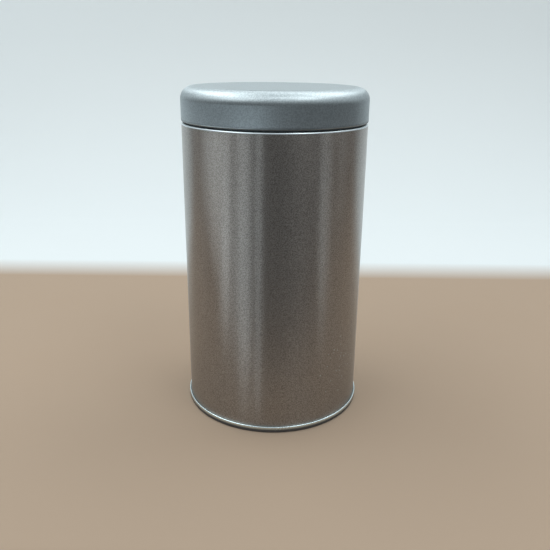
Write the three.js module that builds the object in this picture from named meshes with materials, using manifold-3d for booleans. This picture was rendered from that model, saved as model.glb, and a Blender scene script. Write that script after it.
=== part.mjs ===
// A round tea tin of thin tinplate: a necked body with a lock side seam, a bottom end
// double-seamed onto it, a press-in inner lid and a slip-on outer lid with a rounded edge.
// Millimetres, +Z up. The origin is the centre of the plane that the base rim stands on.
import * as THREE from "three";
import { mergeVertices } from "three/addons/utils/BufferGeometryUtils.js";
import Module from "manifold-3d";

// Sheet and body
const SHEET = 0.22; // tinplate thickness
const BODY_DIAMETER = 75; // outside of the body wall
const SHOULDER_HEIGHT = 121.6; // standing plane to the top of the shoulder
const SHOULDER_RADIUS = 0.7; // outside radius where the wall turns in to the shoulder
const NECK_ROOT_RADIUS = 0.3; // hollow radius where the shoulder turns up to the neck
const MOUTH_CURL_RADIUS = 0.75; // outside radius of the curl rolled into the mouth

// Outer lid
const LID_HEIGHT = 13.4; // lower edge to top face
const LID_CORNER_RADIUS = 4.85; // outside radius of the rounded top edge
const LID_CURL_RADIUS = 0.75; // outside radius of the curl rolled into the lower edge
const LID_PROUD = 0.1; // how far the skirt stands out past the body wall
const LID_SEAT_GAP = 0.4; // shoulder to the lid's lower edge
const LID_FIT = 0.2; // radial clearance of the lid's curl on the neck
const LID_HEADROOM = 2.6; // inner lid's rim to the underside of the outer lid

// Inner lid
const PLUG_DEPTH = 8; // seat to the underside of the dish floor
const PLUG_FIT = 0.15; // radial clearance of the dish in the mouth
const PLUG_CORNER_RADIUS = 1.6; // middle-line radius between floor and wall
const PLUG_STEP_INSET = 6; // dish wall to the raised middle of the floor
const PLUG_STEP_HEIGHT = 0.8; // rise of that middle
const RIM_BEND_RADIUS = 0.5; // middle-line radius from the dish wall out to the rim
const RIM_CURL_RADIUS = 0.6; // outside radius of the rim's curl
const RIM_SEAT_GAP = 0.2; // mouth curl to the rim's underside

// Bottom end and its double seam
const SEAM_HEIGHT = 2.6; // standing plane to the top of the seam
const SEAM_GAP = 0.04; // play between neighbouring layers of the seam
const HOOK_CLEARANCE = 0.25; // tip of a hook to the bend that it faces
const BASE_FLAT = 0.32; // width of the flat ring that the tin stands on
const PANEL_RECESS = 3.2; // standing plane to the underside of the bottom panel
const PANEL_BEND_RADIUS = 0.8; // middle-line radius from the seam's inner wall to the panel
const PANEL_STEP_INSET = 6.5; // seam's inner wall to the raised middle of the panel
const PANEL_STEP_HEIGHT = 0.8; // rise of that middle

// Lock seam down the back of the body
const LOCK_WIDTH = 4; // width of the folded strip
const LOCK_LAYERS = 3; // folded layers on the inside of the wall
const LOCK_LAP = 3; // stretch near the seam and the shoulder that is lapped flat
const GROOVE_WIDTH = 0.5; // hairline on the outside
const GROOVE_DEPTH = 0.1;

// Facets
const ROUND_SEGMENTS = 48; // sides of every revolved piece, so that neighbours line up
const TIGHT_STEP = 45; // widest turn between two points of a small bend, in degrees
const WIDE_STEP = 18; // the same on the lid's rounded edge
const AXIS_TOLERANCE = 1e-9; // a point nearer to the axis than this lies on it
const MERGE_TOLERANCE = 1e-4; // vertices nearer than this are one

// Sizes that follow from those above
const half = SHEET / 2;
const layer = SHEET + SEAM_GAP;
const wallMid = BODY_DIAMETER / 2 - half;
const lidOuter = BODY_DIAMETER / 2 + LID_PROUD;
const neckOuter = lidOuter - 2 * LID_CURL_RADIUS - LID_FIT;
const neckMid = neckOuter - half;
const mouthInner = neckOuter - 2 * MOUTH_CURL_RADIUS;
const lidSeat = SHOULDER_HEIGHT + LID_SEAT_GAP;
const rimTop = lidSeat + LID_HEIGHT - SHEET - LID_HEADROOM;
const rimSeat = rimTop - 2 * RIM_CURL_RADIUS;
const mouthTop = rimSeat - RIM_SEAT_GAP;

const wasm = await Module();
wasm.setup();

// Points of an arc in the radius-height plane, from one angle to another, both in degrees.
function arc(centreR, centreZ, radius, from, to, step = TIGHT_STEP) {
  const steps = Math.ceil(Math.abs(to - from) / step);
  return Array.from({ length: steps + 1 }, (_, i) => {
    const angle = THREE.MathUtils.degToRad(from + ((to - from) * i) / steps);
    return new THREE.Vector2(centreR + radius * Math.cos(angle), centreZ + radius * Math.sin(angle));
  });
}

const point = (r, z) => new THREE.Vector2(r, z);

// The closed outline of a sheet that follows a middle line: half the thickness to each side, mitred.
function sheetOutline(line) {
  const sides = [[], []];
  line.forEach((p, i) => {
    const before = line[Math.max(i - 1, 0)];
    const after = line[Math.min(i + 1, line.length - 1)];
    const into = (i > 0 ? p.clone().sub(before) : after.clone().sub(p)).normalize();
    const outOf = (i < line.length - 1 ? after.clone().sub(p) : into.clone()).normalize();
    const along = into.clone().add(outOf).normalize();
    const mitre = half / along.dot(into);
    sides[0].push(point(p.x - along.y * mitre, p.y + along.x * mitre));
    sides[1].push(point(p.x + along.y * mitre, p.y - along.x * mitre));
  });
  const outline = [...sides[0], ...sides[1].reverse()];
  return THREE.ShapeUtils.isClockWise(outline) ? outline.reverse() : outline;
}

// Turns an outline round the vertical axis. One that starts and ends on the axis is closed by it.
function revolve(outline) {
  const onAxis = outline.filter((p) => Math.abs(p.x) < AXIS_TOLERANCE);
  let points = [...outline, outline[0]];
  if (onAxis.length) {
    const low = onAxis.reduce((a, b) => (a.y < b.y ? a : b));
    const start = outline.indexOf(low);
    points = [...outline.slice(start), ...outline.slice(0, start)];
  }
  return new THREE.LatheGeometry(points, ROUND_SEGMENTS).rotateX(Math.PI / 2);
}

function toSolid(geometry) {
  const bare = geometry.clone();
  bare.deleteAttribute("normal");
  bare.deleteAttribute("uv");
  const merged = mergeVertices(bare, MERGE_TOLERANCE);
  return new wasm.Manifold(
    new wasm.Mesh({
      numProp: 3,
      vertProperties: merged.getAttribute("position").array,
      triVerts: new Uint32Array(merged.index.array),
    }),
  );
}

function toGeometry(solid) {
  const mesh = solid.getMesh();
  const geometry = new THREE.BufferGeometry();
  geometry.setAttribute("position", new THREE.BufferAttribute(mesh.vertProperties, 3));
  geometry.setIndex(new THREE.BufferAttribute(mesh.triVerts, 1));
  geometry.computeVertexNormals();
  return geometry;
}

// A strip of the wall's own curve at the back of the tin, between two radii and two heights.
function backStrip(innerR, outerR, low, high, width) {
  const band = [point(innerR, low), point(outerR, low), point(outerR, high), point(innerR, high)];
  const slab = new THREE.BoxGeometry(width, outerR, high - low);
  slab.translate(0, outerR / 2 + innerR / 2, (low + high) / 2);
  return toSolid(revolve(band)).intersect(toSolid(slab));
}

// Body: hook of the bottom seam, wall, shoulder, neck and the curl rolled into the mouth.
function bodyShell() {
  const turnZ = 2 * layer + half;
  const shoulderMid = SHOULDER_RADIUS - half;
  const rootMid = NECK_ROOT_RADIUS + half;
  const curlMid = MOUTH_CURL_RADIUS - half;
  const line = [
    point(wallMid + 2 * layer, SEAM_HEIGHT - SHEET - HOOK_CLEARANCE),
    ...arc(wallMid + layer, turnZ, layer, 0, -180),
    ...arc(wallMid - shoulderMid, SHOULDER_HEIGHT - SHOULDER_RADIUS, shoulderMid, 0, 90),
    ...arc(neckMid + rootMid, SHOULDER_HEIGHT - half + rootMid, rootMid, 270, 180),
    ...arc(neckMid - curlMid, mouthTop - MOUTH_CURL_RADIUS, curlMid, 0, 270),
  ];
  const wallInner = wallMid - half;
  const wallOuter = wallMid + half;
  const seamLow = SEAM_HEIGHT + LOCK_LAP;
  const seamHigh = SHOULDER_HEIGHT - SHOULDER_RADIUS - LOCK_LAP;
  const fold = backStrip(wallInner - LOCK_LAYERS * SHEET, wallMid, seamLow, seamHigh, LOCK_WIDTH);
  const groove = backStrip(wallOuter - GROOVE_DEPTH, wallOuter + SHEET, seamLow, seamHigh, GROOVE_WIDTH);
  return toGeometry(toSolid(revolve(sheetOutline(line))).add(fold).subtract(groove));
}

// Bottom end: hook inside the body's hook, the seam's outer wall, its flat foot and the raised panel.
function bottomEnd() {
  const chuckMid = wallMid - layer;
  const seamMid = wallMid + 3 * layer;
  const footBend = (4 * layer - BASE_FLAT) / 2;
  const panelMid = PANEL_RECESS + half;
  const stepR = chuckMid - PANEL_STEP_INSET;
  const line = [
    point(wallMid + layer, 2 * SHEET + SEAM_GAP + HOOK_CLEARANCE),
    ...arc(wallMid + 2 * layer, SEAM_HEIGHT - half - layer, layer, 180, 0),
    ...arc(seamMid - footBend, half + footBend, footBend, 0, -90),
    ...arc(chuckMid + footBend, half + footBend, footBend, -90, -180),
    ...arc(chuckMid - PANEL_BEND_RADIUS, panelMid - PANEL_BEND_RADIUS, PANEL_BEND_RADIUS, 0, 90),
    point(stepR, panelMid),
    point(stepR - PANEL_STEP_HEIGHT, panelMid + PANEL_STEP_HEIGHT),
    point(0, panelMid + PANEL_STEP_HEIGHT),
  ];
  return revolve(sheetOutline(line));
}

// Inner lid, from its own seat plane: dish floor with a raised middle, wall, rim and the rim's curl.
function innerLid() {
  const dishMid = mouthInner - PLUG_FIT - half;
  const floorMid = half - PLUG_DEPTH;
  const stepR = dishMid - PLUG_STEP_INSET;
  const curlMid = RIM_CURL_RADIUS - half;
  const line = [
    point(0, floorMid + PLUG_STEP_HEIGHT),
    point(stepR - PLUG_STEP_HEIGHT, floorMid + PLUG_STEP_HEIGHT),
    point(stepR, floorMid),
    ...arc(dishMid - PLUG_CORNER_RADIUS, floorMid + PLUG_CORNER_RADIUS, PLUG_CORNER_RADIUS, -90, 0),
    ...arc(dishMid + RIM_BEND_RADIUS, half - RIM_BEND_RADIUS, RIM_BEND_RADIUS, 180, 90),
    ...arc(neckOuter - RIM_CURL_RADIUS, RIM_CURL_RADIUS, curlMid, -90, 180),
  ];
  return revolve(sheetOutline(line));
}

// Outer lid, from its own lower edge: top face, rounded edge, skirt and the curl that grips the neck.
function outerLid() {
  const skirtMid = lidOuter - half;
  const cornerMid = LID_CORNER_RADIUS - half;
  const curlMid = LID_CURL_RADIUS - half;
  const line = [
    point(0, LID_HEIGHT - half),
    ...arc(skirtMid - cornerMid, LID_HEIGHT - LID_CORNER_RADIUS, cornerMid, 90, 0, WIDE_STEP),
    ...arc(skirtMid - curlMid, LID_CURL_RADIUS, curlMid, 0, -270),
  ];
  return revolve(sheetOutline(line));
}

function piece(name, geometry, finish, height = 0) {
  const mesh = new THREE.Mesh(geometry, new THREE.MeshStandardMaterial(finish));
  mesh.name = name;
  mesh.position.z = height;
  return mesh;
}

const SATIN_TINPLATE = { color: 0x9c9b99, roughness: 0.3, metalness: 1 };
const MATT_SILVER = { color: 0xa3abb0, roughness: 0.45, metalness: 1 };
const BRIGHT_TINPLATE = { color: 0xb4b8ba, roughness: 0.35, metalness: 1 };

const tin = new THREE.Group();
tin.name = "tea_tin";
tin.add(piece("body_shell", bodyShell(), SATIN_TINPLATE));
tin.add(piece("bottom_end", bottomEnd(), BRIGHT_TINPLATE));
const lids = new THREE.Group();
lids.name = "lids";
lids.add(piece("inner_lid", innerLid(), BRIGHT_TINPLATE, rimSeat));
lids.add(piece("outer_lid", outerLid(), MATT_SILVER, lidSeat));
tin.add(lids);

export default tin;
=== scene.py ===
"""Looks of a round tinplate tea tin: turned sheet-metal pieces, their finishes and a plain studio."""

import math

import bpy
from mathutils import Matrix, Vector


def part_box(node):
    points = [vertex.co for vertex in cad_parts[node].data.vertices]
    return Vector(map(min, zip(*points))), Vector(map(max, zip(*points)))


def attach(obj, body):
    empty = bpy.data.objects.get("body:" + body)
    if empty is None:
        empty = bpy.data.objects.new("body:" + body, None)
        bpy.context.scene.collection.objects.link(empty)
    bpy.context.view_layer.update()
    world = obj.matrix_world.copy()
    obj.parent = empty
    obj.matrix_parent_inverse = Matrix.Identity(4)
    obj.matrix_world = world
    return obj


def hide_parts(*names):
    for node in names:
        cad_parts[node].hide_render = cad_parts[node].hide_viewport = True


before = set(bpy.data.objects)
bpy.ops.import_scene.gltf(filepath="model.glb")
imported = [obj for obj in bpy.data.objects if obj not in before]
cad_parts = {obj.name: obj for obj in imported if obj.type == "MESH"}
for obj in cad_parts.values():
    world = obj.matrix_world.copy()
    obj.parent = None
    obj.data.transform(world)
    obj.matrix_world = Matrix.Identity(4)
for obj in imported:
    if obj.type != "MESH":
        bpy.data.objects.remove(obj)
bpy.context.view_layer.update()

MM = 0.001  # metres

# Sheet-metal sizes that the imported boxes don't give
SHEET = 0.22 * MM
SEAM_GAP = 0.04 * MM
HOOK_CLEARANCE = 0.25 * MM
BASE_FLAT = 0.32 * MM
SHOULDER_RADIUS = 0.7 * MM
NECK_ROOT_RADIUS = 0.3 * MM
MOUTH_CURL_RADIUS = 0.75 * MM
LID_CURL_RADIUS = 0.75 * MM
LID_CORNER_RADIUS = 4.85 * MM
LID_SEAT_GAP = 0.4 * MM
PLUG_FIT = 0.15 * MM
PLUG_CORNER_RADIUS = 1.6 * MM
PLUG_STEP_INSET = 6 * MM
RIM_BEND_RADIUS = 0.5 * MM
RIM_CURL_RADIUS = 0.6 * MM
SEAM_HEIGHT = 2.6 * MM
PANEL_BEND_RADIUS = 0.8 * MM
PANEL_STEP_INSET = 6.5 * MM
STEP_HEIGHT = 0.8 * MM
STEP_ROUNDING = 0.5 * MM
LOCK_WIDTH = 4 * MM
LOCK_LAYERS = 3
LOCK_LAP = 3 * MM
GROOVE_WIDTH = 0.5 * MM
GROOVE_DEPTH = 0.1 * MM

# Fineness of the turned meshes
ROUND_STEPS = 180
ARC_STEP = math.radians(11)
SHARP_ANGLE = math.radians(50)
SEAM_EDGE = 0.12 * MM
LONG_STRETCH = 1.2 * MM
BRACE = 0.2 * MM
ROUNDING_STEPS = 4
TOLERANCE = 0.001 * MM

# Material slots of a turned piece: the face to the left of its middle line, the other face, and one more
LEFT, RIGHT, THIRD = 0, 1, 2

# Camera of the photograph, measured from the centre of the base
CAMERA_POSITION = Vector((0.72, -258.1, 147.9)) * MM
CAMERA_PITCH = math.radians(19.69)
CAMERA_ROLL = math.radians(0.586)
CAMERA_LENS = 40.72
CAMERA_SENSOR = 36
CAMERA_CLIP = 10 * MM

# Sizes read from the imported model
half = SHEET / 2
layer = SHEET + SEAM_GAP
end_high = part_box("bottom_end")[1]
plug_low, plug_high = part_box("inner_lid")
lid_low, lid_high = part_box("outer_lid")
wall_mid = end_high.x - half - 3 * layer
mouth_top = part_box("body_shell")[1].z
neck_mid = plug_high.x - half
shoulder_top = lid_low.z - LID_SEAT_GAP
lid_mid = lid_high.x - half


def point(r, z):
    return Vector((r, z))


def arc(centre_r, centre_z, radius, start, end):
    """Points of an arc in the radius-height plane, from one angle to another, both in degrees."""
    turn = math.radians(end - start)
    steps = max(2, math.ceil(abs(turn) / ARC_STEP))
    angles = [math.radians(start) + turn * i / steps for i in range(steps + 1)]
    return [point(centre_r + radius * math.cos(a), centre_z + radius * math.sin(a)) for a in angles]


def rounded(before, corner, after, radius):
    """The corner of a middle line as an arc of about that radius, from three points."""
    into = (corner - before).normalized()
    out = (after - corner).normalized()
    reach = radius * math.tan(into.angle(out) / 2)
    first, last = corner - into * reach, corner + out * reach
    curve = []
    for i in range(ROUNDING_STEPS + 1):
        t = i / ROUNDING_STEPS
        curve.append(first * (1 - t) ** 2 + corner * (2 * t * (1 - t)) + last * t**2)
    return curve


def braced(line):
    """A middle line with extra points near the ends of its long straights, so that they shade flat."""
    points = [line[0]]
    for before, after in zip(line, line[1:]):
        stretch = after - before
        if stretch.length > LONG_STRETCH:
            brace = stretch.normalized() * BRACE
            points += [before + brace, after - brace]
        points.append(after)
    return points


def sheet_sides(line):
    """Both faces of a sheet that follows a middle line, as two lists of points."""
    left, right = [], []
    for i, here in enumerate(line):
        before = line[max(i - 1, 0)]
        after = line[min(i + 1, len(line) - 1)]
        into = (here - before).normalized() if i else (after - here).normalized()
        out = (after - here).normalized() if i < len(line) - 1 else into
        along = (into + out).normalized()
        mitre = half / along.dot(into)
        side = Vector((-along.y, along.x)) * mitre
        left.append(here + side)
        right.append(here - side)
    return left, right


def even_angles():
    return [2 * math.pi * i / ROUND_STEPS for i in range(ROUND_STEPS)]


def turned(name, line, materials, body, node, angles=None, shape=None, finish=None):
    """A sheet-metal piece turned about the axis from its middle line.

    The face to the left of the line takes the first material and the other face the second.
    finish(side, middle) may give another slot for a stretch of a face, by the stretch's middle point.
    shape(angle, radius, height) may give another radius, for the side seam.
    """
    angles = angles or even_angles()
    left, right = sheet_sides(braced(line))
    on_axis = [line[0].x < TOLERANCE, line[-1].x < TOLERANCE]
    outline = [(p, LEFT) for p in left] + [(p, RIGHT) for p in reversed(right)]
    verts, rings = [], []
    for p, _ in outline:
        if p.x < TOLERANCE:
            rings.append([len(verts)] * len(angles))
            verts.append((0, 0, p.y))
            continue
        ring = []
        for angle in angles:
            r = shape(angle, p.x, p.y) if shape else p.x
            ring.append(len(verts))
            verts.append((r * math.sin(angle), -r * math.cos(angle), p.y))
        rings.append(ring)
    faces, slots = [], []
    for i in range(len(outline)):
        j = (i + 1) % len(outline)
        closing = i == len(outline) - 1 or i == len(left) - 1
        if closing and on_axis[0 if i == len(outline) - 1 else 1]:
            continue
        side = outline[i][1]
        slot = finish(side, (outline[i][0] + outline[j][0]) / 2) if finish else side
        for k in range(len(angles)):
            m = (k + 1) % len(angles)
            corners = [rings[i][k], rings[i][m], rings[j][m], rings[j][k]]
            face = list(dict.fromkeys(corners))
            if len(face) > 2:
                faces.append(face)
                slots.append(slot)
    mesh = bpy.data.meshes.new(name)
    mesh.from_pydata(verts, [], faces)
    for material in materials:
        mesh.materials.append(material)
    mesh.polygons.foreach_set("material_index", slots)
    mesh.polygons.foreach_set("use_smooth", [True] * len(mesh.polygons))
    mesh.update()
    if signed_volume(mesh) < 0:
        mesh.flip_normals()
    mesh.set_sharp_from_angle(angle=SHARP_ANGLE)
    piece = bpy.data.objects.new(name, mesh)
    bpy.context.scene.collection.objects.link(piece)
    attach(piece, body)
    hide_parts(node)
    return piece


def signed_volume(mesh):
    total = 0.0
    for polygon in mesh.polygons:
        corners = [mesh.vertices[i].co for i in polygon.vertices]
        for a, b in zip(corners[1:-1], corners[2:]):
            total += corners[0].dot(a.cross(b))
    return total


# Finishes

# Painted shade: the rim's outside turns dark grey below these heights, standing in for the shade at its
# foot next to the floor
FOOT_SHADE_BAND = (1.2 * MM, 2.1 * MM)
FOOT_SHADE_COLOUR = (0.13, 0.15, 0.18)
# Painted shade: the lid's skirt turns dark along its lower curl, standing in for the shade of the gap
# above the shoulder
LID_SHADE_BAND = 1.25 * MM
LID_SHADE_COLOUR = (0.054, 0.06, 0.068)
MATT_SPREAD = 0.03
BARE_SPREAD = 0.01
BARE_GRAIN = 0.4 * MM
BARE_RELIEF = 0.0005 * MM
SILVER_DARK = (0.48, 0.54, 0.565)
SILVER_LIGHT = (0.60, 0.665, 0.69)
SILVER_ROUGHNESS = 0.38
SILVER_GRAIN = 0.5 * MM
QUARTER_TURN = 0.25
COARSE_RATIO = 3
SMUDGE = 0.03
SMUDGE_SIZE = 18 * MM
SCUFF_COLOUR = (0.58, 0.66, 0.72)
SCUFF_RADIUS = 0.35 * MM
SCUFF_SPACING = 1.4 * MM
SCUFF_SHARE = 0.5
SCUFF_PLACE = Vector((27.9, -25.1, 27)) * MM
SCUFF_CORE = 5 * MM
SCUFF_REACH = 15 * MM

# Levels of a noise between which a finish goes from one value to the other
TONE_LEVELS = (0.4, 0.6)
SPECKLE_LEVELS = (0.3, 0.7)
SMUDGE_LEVELS = (0.35, 0.7)


def new_material(name):
    material = bpy.data.materials.new(name)
    material.use_nodes = True
    tree = material.node_tree
    return material, tree, tree.nodes["Principled BSDF"]


def add(tree, kind, **settings):
    node = tree.nodes.new(kind)
    for key, value in settings.items():
        if key in node.inputs.keys():
            node.inputs[key].default_value = value
        else:
            setattr(node, key, value)
    return node


def noise(tree, coordinates, size, detail):
    """Noise whose grains are about size metres across."""
    mapping = add(tree, "ShaderNodeMapping", Scale=[1 / size] * 3)
    tree.links.new(coordinates, mapping.inputs["Vector"])
    texture = add(tree, "ShaderNodeTexNoise", Scale=1.0, Detail=detail)
    tree.links.new(mapping.outputs["Vector"], texture.inputs["Vector"])
    return texture.outputs["Fac"]


def remap(tree, value, low, high, to_low, to_high):
    node = add(tree, "ShaderNodeMapRange")
    node.inputs["From Min"].default_value = low
    node.inputs["From Max"].default_value = high
    node.inputs["To Min"].default_value = to_low
    node.inputs["To Max"].default_value = to_high
    tree.links.new(value, node.inputs["Value"])
    return node.outputs["Result"]


def combine(tree, operation, first, second):
    node = add(tree, "ShaderNodeMath", operation=operation)
    for socket, value in zip(node.inputs, (first, second)):
        if isinstance(value, (int, float)):
            socket.default_value = value
        else:
            tree.links.new(value, socket)
    return node.outputs["Value"]


def scuffed(tree, place, tone):
    """A tone with small pale specks over it, in one patch that thins out from its centre."""
    cells = add(tree, "ShaderNodeTexVoronoi", Scale=1 / SCUFF_SPACING)
    tree.links.new(place, cells.inputs["Vector"])
    size = SCUFF_RADIUS / SCUFF_SPACING
    close = remap(tree, cells.outputs["Distance"], size / 2, size, 1.0, 0.0)
    away = add(tree, "ShaderNodeVectorMath", operation="DISTANCE")
    tree.links.new(place, away.inputs[0])
    away.inputs[1].default_value = SCUFF_PLACE
    share = remap(tree, away.outputs["Value"], SCUFF_CORE, SCUFF_REACH, SCUFF_SHARE, 0.0)
    pick = add(tree, "ShaderNodeSeparateColor")
    tree.links.new(cells.outputs["Color"], pick.inputs["Color"])
    chosen = combine(tree, "LESS_THAN", pick.outputs["Red"], share)
    speck = add(tree, "ShaderNodeMix", data_type="RGBA")
    tree.links.new(combine(tree, "MULTIPLY", close, chosen), speck.inputs["Factor"])
    tree.links.new(tone, speck.inputs["A"])
    speck.inputs["B"].default_value = (*SCUFF_COLOUR, 1)
    return speck.outputs["Result"]


def tinplate(
    name, dark, light, roughness, spread, grain, relief, drawn=0.0, turn=0.0, painted_shade=None, scuffs=False
):
    """Metal with a fine speckled grain: two close tones, uneven roughness and a grain in relief.

    spread is how far the grain takes the roughness up and down.
    drawn draws highlights out, up and down where turn is a quarter and sideways where it is 0.
    painted_shade gives the colour of painted shade along a lower edge, and the heights between which the
    metal turns to it.
    scuffs adds a patch of pale specks of wear.
    """
    material, tree, shader = new_material(name)
    shader.inputs["Metallic"].default_value = 1.0
    if drawn:
        shader.inputs["Anisotropic"].default_value = drawn
        shader.inputs["Anisotropic Rotation"].default_value = turn
        round_axis = add(tree, "ShaderNodeTangent", direction_type="RADIAL", axis="Z")
        tree.links.new(round_axis.outputs["Tangent"], shader.inputs["Tangent"])
    place = add(tree, "ShaderNodeTexCoord").outputs["Object"]
    fine = noise(tree, place, grain, detail=1.0)
    coarse = noise(tree, place, grain * COARSE_RATIO, detail=2.0)
    smudge = noise(tree, place, SMUDGE_SIZE, detail=3.0)
    ramp = add(tree, "ShaderNodeMix", data_type="RGBA")
    tree.links.new(remap(tree, fine, *TONE_LEVELS, 0.0, 1.0), ramp.inputs["Factor"])
    ramp.inputs["A"].default_value = (*dark, 1)
    ramp.inputs["B"].default_value = (*light, 1)
    tone = ramp.outputs["Result"]
    if scuffs:
        tone = scuffed(tree, place, tone)
    # Painted shade: below the given heights the tone turns to a dark colour, standing in for shade along
    # a lower edge
    if painted_shade:
        low, high, shade_colour = painted_shade
        split = add(tree, "ShaderNodeSeparateXYZ")
        tree.links.new(place, split.inputs["Vector"])
        shaded = add(tree, "ShaderNodeMix", data_type="RGBA")
        shaded.inputs["A"].default_value = (*shade_colour, 1)
        tree.links.new(remap(tree, split.outputs["Z"], low, high, 0.0, 1.0), shaded.inputs["Factor"])
        tree.links.new(tone, shaded.inputs["B"])
        tone = shaded.outputs["Result"]
    tree.links.new(tone, shader.inputs["Base Color"])
    speckle = remap(tree, fine, *SPECKLE_LEVELS, -spread, spread)
    haze = remap(tree, smudge, *SMUDGE_LEVELS, 0.0, min(spread, SMUDGE))
    uneven = combine(tree, "ADD", speckle, haze)
    tree.links.new(combine(tree, "ADD", uneven, roughness), shader.inputs["Roughness"])
    bump = add(tree, "ShaderNodeBump", Strength=1.0, Distance=relief)
    tree.links.new(combine(tree, "ADD", fine, coarse), bump.inputs["Height"])
    tree.links.new(bump.outputs["Normal"], shader.inputs["Normal"])
    return material


satin = tinplate(
    "satin_tinplate",
    dark=(0.255, 0.237, 0.222),
    light=(0.430, 0.401, 0.377),
    roughness=0.32,
    spread=MATT_SPREAD,
    grain=0.34 * MM,
    relief=0.014 * MM,
    drawn=0.925,
    turn=QUARTER_TURN,
    scuffs=True,
)
bright = tinplate(
    "bright_tinplate",
    dark=(0.80, 0.88, 0.91),
    light=(0.83, 0.91, 0.94),
    roughness=0.3,
    spread=BARE_SPREAD,
    grain=BARE_GRAIN,
    relief=BARE_RELIEF,
)
foot = tinplate(
    "rim_tinplate",
    dark=(0.80, 0.92, 0.95),
    light=(0.83, 0.95, 0.98),
    roughness=0.26,
    spread=BARE_SPREAD,
    grain=BARE_GRAIN,
    relief=BARE_RELIEF,
    # Painted shade over the rim's lower part, next to the floor
    painted_shade=(*FOOT_SHADE_BAND, FOOT_SHADE_COLOUR),
)
silver = tinplate(
    "matt_silver",
    dark=SILVER_DARK,
    light=SILVER_LIGHT,
    roughness=SILVER_ROUGHNESS,
    spread=MATT_SPREAD,
    grain=SILVER_GRAIN,
    relief=0.015 * MM,
    drawn=0.7,
    # Painted shade along the skirt's lower curl, over the gap above the shoulder
    painted_shade=(lid_low.z, lid_low.z + LID_SHADE_BAND, LID_SHADE_COLOUR),
)
silver_top = tinplate(
    "matt_silver_top",
    dark=SILVER_DARK,
    light=SILVER_LIGHT,
    roughness=SILVER_ROUGHNESS,
    spread=MATT_SPREAD,
    grain=SILVER_GRAIN,
    relief=0.008 * MM,
)


# Pieces


def back_offset(angle):
    """Distance along the wall from the middle of its back, where the side seam is."""
    return abs(angle - math.pi) * wall_mid


def seam_angles():
    """Even angles with extra ones at the edges of the side seam's fold and groove."""
    marks = [GROOVE_WIDTH / 2, GROOVE_WIDTH / 2 - SEAM_EDGE, LOCK_WIDTH / 2, LOCK_WIDTH / 2 - SEAM_EDGE]
    extra = [math.pi + side * mark / wall_mid for mark in marks for side in (-1, 1)]
    return sorted(even_angles() + extra)


def body_shell(materials):
    shoulder_mid = SHOULDER_RADIUS - half
    root_mid = NECK_ROOT_RADIUS + half
    curl_mid = MOUTH_CURL_RADIUS - half
    seam_low = SEAM_HEIGHT + LOCK_LAP
    seam_high = shoulder_top - SHOULDER_RADIUS - LOCK_LAP
    stops = [seam_low - SEAM_EDGE, seam_low, seam_high, seam_high + SEAM_EDGE]
    line = [
        point(wall_mid + 2 * layer, SEAM_HEIGHT - SHEET - HOOK_CLEARANCE),
        *arc(wall_mid + layer, 2 * layer + half, layer, 0, -180),
        *[point(wall_mid, z) for z in stops],
        *arc(wall_mid - shoulder_mid, shoulder_top - SHOULDER_RADIUS, shoulder_mid, 0, 90),
        *arc(neck_mid + root_mid, shoulder_top - half + root_mid, root_mid, 270, 180),
        *arc(neck_mid - curl_mid, mouth_top - MOUTH_CURL_RADIUS, curl_mid, 0, 270),
    ]

    def side_seam(angle, radius, height):
        on_wall = abs(radius - wall_mid) < half + TOLERANCE
        if not on_wall or not seam_low - half < height < seam_high + half:
            return radius
        offset = back_offset(angle)
        if radius < wall_mid and offset < LOCK_WIDTH / 2 - half:
            return radius - LOCK_LAYERS * SHEET
        if radius > wall_mid and offset < GROOVE_WIDTH / 2 - half:
            return radius - GROOVE_DEPTH
        return radius

    def bare_shoulder(side, middle):
        return LEFT if middle.y > shoulder_top - SHOULDER_RADIUS else side

    return turned(
        "body_shell_turned", line, materials, "tin", "body_shell",
        angles=seam_angles(), shape=side_seam, finish=bare_shoulder,
    )


def bottom_end(materials):
    chuck_mid = wall_mid - layer
    seam_mid = wall_mid + 3 * layer
    foot_radius = (4 * layer - BASE_FLAT) / 2
    middle_z = end_high.z - half
    panel_z = middle_z - STEP_HEIGHT
    step_r = chuck_mid - PANEL_STEP_INSET
    outer_step = point(step_r, panel_z)
    inner_step = point(step_r - STEP_HEIGHT, middle_z)
    panel_edge = point(chuck_mid - PANEL_BEND_RADIUS, panel_z)
    centre = point(0, middle_z)
    line = [
        point(wall_mid + layer, 2 * SHEET + SEAM_GAP + HOOK_CLEARANCE),
        *arc(wall_mid + 2 * layer, SEAM_HEIGHT - half - layer, layer, 180, 0),
        *arc(seam_mid - foot_radius, half + foot_radius, foot_radius, 0, -90),
        *arc(chuck_mid + foot_radius, half + foot_radius, foot_radius, -90, -180),
        *arc(panel_edge.x, panel_z - PANEL_BEND_RADIUS, PANEL_BEND_RADIUS, 0, 90),
        *rounded(panel_edge, outer_step, inner_step, STEP_ROUNDING),
        *rounded(outer_step, inner_step, centre, STEP_ROUNDING),
        centre,
    ]
    return turned("bottom_end_turned", line, materials, "tin", "bottom_end")


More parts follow.
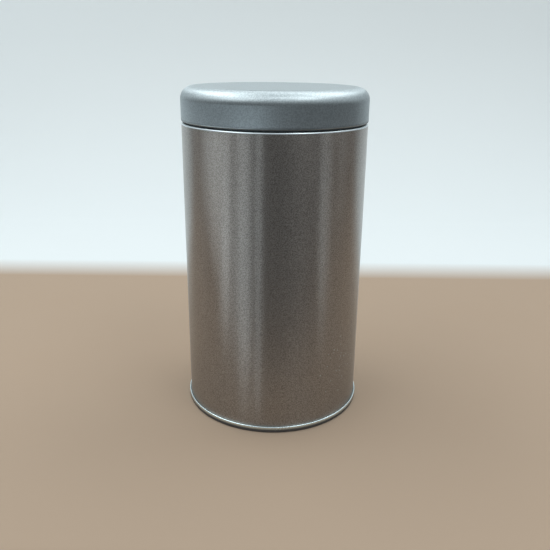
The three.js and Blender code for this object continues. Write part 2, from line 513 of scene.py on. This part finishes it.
def inner_lid(materials):
    rim_seat = plug_high.z - 2 * RIM_CURL_RADIUS
    dish_mid = plug_high.x - 2 * MOUTH_CURL_RADIUS - PLUG_FIT - half
    floor_z = plug_low.z + half
    step_r = dish_mid - PLUG_STEP_INSET
    curl_mid = RIM_CURL_RADIUS - half
    centre = point(0, floor_z + STEP_HEIGHT)
    inner_step = point(step_r - STEP_HEIGHT, floor_z + STEP_HEIGHT)
    outer_step = point(step_r, floor_z)
    floor_edge = point(dish_mid - PLUG_CORNER_RADIUS, floor_z)
    line = [
        centre,
        *rounded(centre, inner_step, outer_step, STEP_ROUNDING),
        *rounded(inner_step, outer_step, floor_edge, STEP_ROUNDING),
        *arc(floor_edge.x, floor_z + PLUG_CORNER_RADIUS, PLUG_CORNER_RADIUS, -90, 0),
        *arc(dish_mid + RIM_BEND_RADIUS, rim_seat + half - RIM_BEND_RADIUS, RIM_BEND_RADIUS, 180, 90),
        *arc(plug_high.x - RIM_CURL_RADIUS, rim_seat + RIM_CURL_RADIUS, curl_mid, -90, 180),
    ]
    return turned("inner_lid_turned", line, materials, "inner_lid", "inner_lid")


def outer_lid(materials):
    corner_mid = LID_CORNER_RADIUS - half
    curl_mid = LID_CURL_RADIUS - half
    line = [
        point(0, lid_high.z - half),
        *arc(lid_mid - corner_mid, lid_high.z - LID_CORNER_RADIUS, corner_mid, 90, 0),
        *arc(lid_mid - curl_mid, lid_low.z + LID_CURL_RADIUS, curl_mid, 0, -270),
    ]

    def flat_top(side, middle):
        return THIRD if side == LEFT and middle.x < lid_mid - LID_CORNER_RADIUS else side

    return turned("outer_lid_turned", line, materials, "outer_lid", "outer_lid", finish=flat_top)


# Studio, with sizes in metres

FLOOR_COLOUR = (0.465, 0.35, 0.26)
WALL_COLOUR = (0.62, 0.66, 0.67)
PAPER_SPECULAR = 0.2
PAPER_MOTTLE = 60 * MM
PAPER_ROUGHNESS = (0.75, 0.9)
FLOOR_END = 0.15
FLOOR_FADE = 0.035
WALL_GLOW = 0.35
GLOW_END = 0.21
GLOW_FADE = 0.1
FRONT_HALF_WIDTH = 0.28
BACK_HALF_WIDTH = 0.75
PAPER_FRONT = -0.112
PAPER_DROP = 0.12
EDGE_RADIUS = 0.012
SWEEP_START = 0.3
SWEEP_RADIUS = 0.2
WALL_HEIGHT = 0.46
SKY_LIGHT = (0.63, 0.68, 0.70)
GROUND_LIGHT = (0.115, 0.121, 0.125)
SKY_TIP = math.radians(14)
SKY_START = math.sin(math.radians(1))
SKY_FULL = math.sin(math.radians(26))
BOX_COLOUR = (0.93, 0.975, 0.975)
PANEL_COLOUR = (0.84, 0.97, 1.04)
LIGHT_TARGET = Vector((0, 0, 0.07))
LIGHT_DISTANCE = 0.75


def backdrop_paper():
    """Matt pale paper that goes from the floor's colour to the wall's behind the tin.

    The wall shows its pale colour to the eye and in reflections without lighting the tin.
    """
    material, tree, shader = new_material("pale_paper")
    shader.inputs["Specular IOR Level"].default_value = PAPER_SPECULAR
    place = add(tree, "ShaderNodeTexCoord").outputs["Object"]
    mottle = noise(tree, place, PAPER_MOTTLE, detail=4.0)
    tree.links.new(remap(tree, mottle, *SPECKLE_LEVELS, *PAPER_ROUGHNESS), shader.inputs["Roughness"])
    split = add(tree, "ShaderNodeSeparateXYZ")
    tree.links.new(place, split.inputs["Vector"])
    behind = remap(tree, split.outputs["Y"], FLOOR_END, FLOOR_END + FLOOR_FADE, 0.0, 1.0)
    blend = add(tree, "ShaderNodeMix", data_type="RGBA")
    tree.links.new(behind, blend.inputs["Factor"])
    blend.inputs["A"].default_value = (*FLOOR_COLOUR, 1)
    blend.inputs["B"].default_value = (*WALL_COLOUR, 1)
    tree.links.new(blend.outputs["Result"], shader.inputs["Base Color"])
    path = add(tree, "ShaderNodeLightPath")
    seen = combine(tree, "ADD", path.outputs["Is Camera Ray"], path.outputs["Is Glossy Ray"])
    seen = combine(tree, "ADD", seen, path.outputs["Is Transmission Ray"])
    fade = remap(tree, split.outputs["Z"], GLOW_END, GLOW_END + GLOW_FADE, WALL_GLOW, 0.0)
    glow = combine(tree, "MULTIPLY", behind, fade)
    shader.inputs["Emission Color"].default_value = (*WALL_COLOUR, 1)
    tree.links.new(combine(tree, "MULTIPLY", seen, glow), shader.inputs["Emission Strength"])
    return material


def studio_paper():
    """A sheet of paper that widens to the back, hangs over a front edge and sweeps up behind the tin."""
    edge = arc(PAPER_FRONT + EDGE_RADIUS, -EDGE_RADIUS, EDGE_RADIUS, 180, 90)
    sweep = arc(SWEEP_START, SWEEP_RADIUS, SWEEP_RADIUS, -90, 0)
    drop = point(PAPER_FRONT, -PAPER_DROP)
    top = point(SWEEP_START + SWEEP_RADIUS, WALL_HEIGHT)
    profile = [drop, *edge, *sweep, top]
    verts = []
    for p in profile:
        share = (p.x - PAPER_FRONT) / (top.x - PAPER_FRONT)
        reach = FRONT_HALF_WIDTH + share * (BACK_HALF_WIDTH - FRONT_HALF_WIDTH)
        verts += [(-reach, p.x, p.y), (reach, p.x, p.y)]
    faces = [(2 * i, 2 * i + 1, 2 * i + 3, 2 * i + 2) for i in range(len(profile) - 1)]
    mesh = bpy.data.meshes.new("paper")
    mesh.from_pydata(verts, [], faces)
    mesh.materials.append(backdrop_paper())
    mesh.polygons.foreach_set("use_smooth", [True] * len(faces))
    sheet = bpy.data.objects.new("paper", mesh)
    bpy.context.scene.collection.objects.link(sheet)


def soft_box(name, azimuth, elevation, width, height, power, colour=BOX_COLOUR):
    """A rectangular lamp that faces the tin: angles in degrees, sides in metres and power in watts.

    Azimuth 0 is the camera's side, and left is negative.
    """
    turn, tilt = math.radians(azimuth), math.radians(elevation)
    away = Vector((math.sin(turn) * math.cos(tilt), -math.cos(turn) * math.cos(tilt), math.sin(tilt)))
    light = bpy.data.lights.new(name, "AREA")
    light.shape = "RECTANGLE"
    light.size = width
    light.size_y = height
    light.energy = power
    light.color = colour
    lamp = bpy.data.objects.new(name, light)
    lamp.location = LIGHT_TARGET + away * LIGHT_DISTANCE
    lamp.rotation_euler = away.to_track_quat("Z", "Y").to_euler()
    lamp.visible_camera = False
    bpy.context.scene.collection.objects.link(lamp)


def studio_light():
    """A pale sky, boxes above the tin for the lid's highlights, and low ones for the wall's streaks."""
    soft_box("key_box", -113, 56, 0.48, 0.35, 1.28)
    soft_box("side_box", 121, 57, 0.44, 0.4, 1.1)
    soft_box("back_box", 180, 52, 0.5, 0.4, 0.38)
    soft_box("left_box", -58, 47, 0.42, 0.42, 0.75)
    soft_box("right_box", 46, 56, 0.28, 0.3, 0.65)
    soft_box("left_panel", -86, -20, 0.36, 0.2, 1.3, PANEL_COLOUR)
    soft_box("left_strip", -102, -7, 0.34, 0.15, 0.05, PANEL_COLOUR)
    soft_box("left_card", -65, -20, 0.19, 0.2, 0.34, PANEL_COLOUR)
    soft_box("middle_card", -50, -28, 0.19, 0.34, 0.17, PANEL_COLOUR)
    soft_box("strip_card", -35, -14, 0.19, 0.34, 0.2, PANEL_COLOUR)
    soft_box("slit_card", -18, -10, 0.08, 0.2, 0.09, PANEL_COLOUR)
    soft_box("right_card", 66, -19, 0.19, 0.2, 0.14, PANEL_COLOUR)
    soft_box("right_panel", 93, -20, 0.2, 0.2, 0.2, PANEL_COLOUR)
    world = bpy.data.worlds.new("studio")
    bpy.context.scene.world = world
    world.use_nodes = True
    tree = world.node_tree
    background = tree.nodes["Background"]
    height = add(tree, "ShaderNodeVectorMath", operation="DOT_PRODUCT")
    tree.links.new(add(tree, "ShaderNodeTexCoord").outputs["Generated"], height.inputs[0])
    height.inputs[1].default_value = (0, math.sin(SKY_TIP), math.cos(SKY_TIP))
    blend = add(tree, "ShaderNodeMix", data_type="RGBA")
    sky = remap(tree, height.outputs["Value"], SKY_START, SKY_FULL, 0.0, 1.0)
    tree.links.new(sky, blend.inputs["Factor"])
    blend.inputs["A"].default_value = (*GROUND_LIGHT, 1)
    blend.inputs["B"].default_value = (*SKY_LIGHT, 1)
    tree.links.new(blend.outputs["Result"], background.inputs["Color"])


def camera():
    data = bpy.data.cameras.new("photo_camera")
    data.sensor_width = CAMERA_SENSOR
    data.lens = CAMERA_LENS
    data.clip_start = CAMERA_CLIP
    cam = bpy.data.objects.new("photo_camera", data)
    forward = Vector((0, math.cos(CAMERA_PITCH), -math.sin(CAMERA_PITCH)))
    level = Vector((1, 0, 0))
    up = level.cross(forward)
    right = level * math.cos(CAMERA_ROLL) + up * math.sin(CAMERA_ROLL)
    above = up * math.cos(CAMERA_ROLL) - level * math.sin(CAMERA_ROLL)
    columns = Matrix((right, above, -forward)).transposed()
    cam.matrix_world = Matrix.Translation(CAMERA_POSITION) @ columns.to_4x4()
    bpy.context.scene.collection.objects.link(cam)
    bpy.context.scene.camera = cam


# Scene

body_shell((bright, satin))
bottom_end((foot, bright))
inner_lid((bright, bright))
outer_lid((silver, bright, silver_top))
studio_paper()
studio_light()
camera()
bpy.context.scene.view_settings.view_transform = "Standard"
